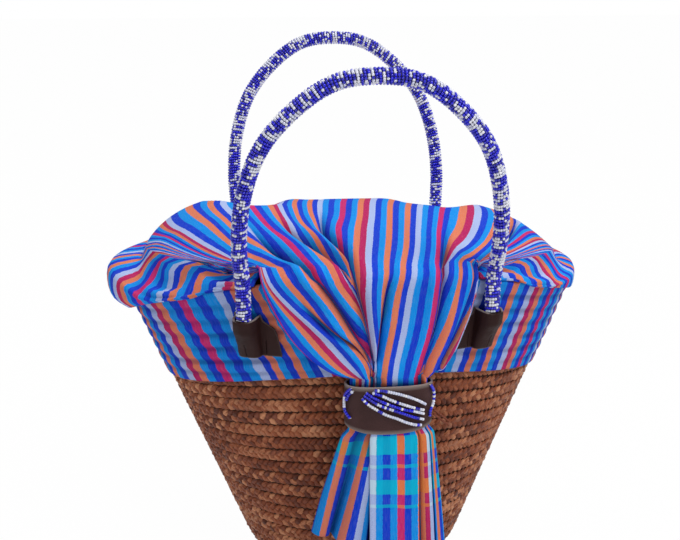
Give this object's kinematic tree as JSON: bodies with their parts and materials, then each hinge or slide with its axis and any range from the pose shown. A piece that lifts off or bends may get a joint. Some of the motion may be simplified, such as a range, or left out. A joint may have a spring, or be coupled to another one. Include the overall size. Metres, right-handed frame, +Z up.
{
  "type": "kiondo basket",
  "caption": "Plaited basket with an oval mouth, a striped cloth cover drawn through a leather cuff, and a pair of beaded rope handles.",
  "frame": {"origin": "centre of the flat base's underside, on the surface that the basket stands on", "axes": "+Z up, -Y towards the front with the cuff and the tail, +X to the right seen from the front"},
  "size_m": [0.4336, 0.353, 0.4634],
  "materials": {
    "plait": "plaited plant fibre, reddish brown, dry, slightly glossy on the strands' crowns",
    "cloth": "plain-woven striped cotton: blues, azure, orange, crimson and off-white",
    "leather": "dark brown leather, semi-matt, pale cut edges",
    "beads": "opaque glass seed beads, deep blue mixed with white",
    "rope": "twisted fibre rope, matt",
    "lace": "thin waxed lace, red-brown"
  },
  "bodies": {
    "basket": {"basket_base": "plait", "basket_wall": "plait", "cloth_collar": "cloth", "cloth_cover": "cloth", "cuff_band": "leather", "cuff_strand_1": "beads", "cuff_strand_2": "beads", "cuff_strand_3": "beads", "cuff_strand_4": "beads", "cuff_strand_5": "beads", "cuff_loop_left_outer": "beads", "cuff_loop_left_inner": "beads", "cuff_loop_right": "beads", "cuff_lace_upper": "lace", "cuff_lace_lower": "lace", "front_left_rope_end": "rope", "front_left_bead_neck": "beads", "front_left_tab": "leather", "front_right_rope_end": "rope", "front_right_bead_neck": "beads", "front_right_tab": "leather", "rear_left_rope_end": "rope", "rear_left_bead_neck": "beads", "rear_left_tab": "leather", "rear_right_rope_end": "rope", "rear_right_bead_neck": "beads", "rear_right_tab": "leather"},
    "front_handle": {"front_handle_rope": "rope", "front_handle_beads": "beads"},
    "rear_handle": {"rear_handle_rope": "rope", "rear_handle_beads": "beads"},
    "tail": {"cloth_tail": "cloth"}
  },
  "joints": [
    {"name": "front_handle_swing", "type": "hinge", "parent": "basket", "child": "front_handle", "pos_m": [0, -0.1268, 0.29046], "axis": [1, 0, 0], "range_deg": [-54, 124]},
    {"name": "rear_handle_swing", "type": "hinge", "parent": "basket", "child": "rear_handle", "pos_m": [0, 0.1268, 0.29046], "axis": [-1, 0, 0], "range_deg": [-54, 124]},
    {"name": "tail_pull", "type": "slide", "parent": "basket", "child": "tail", "axis": [0, 0, -1], "range_m": [0, 0.02]}
  ]
}
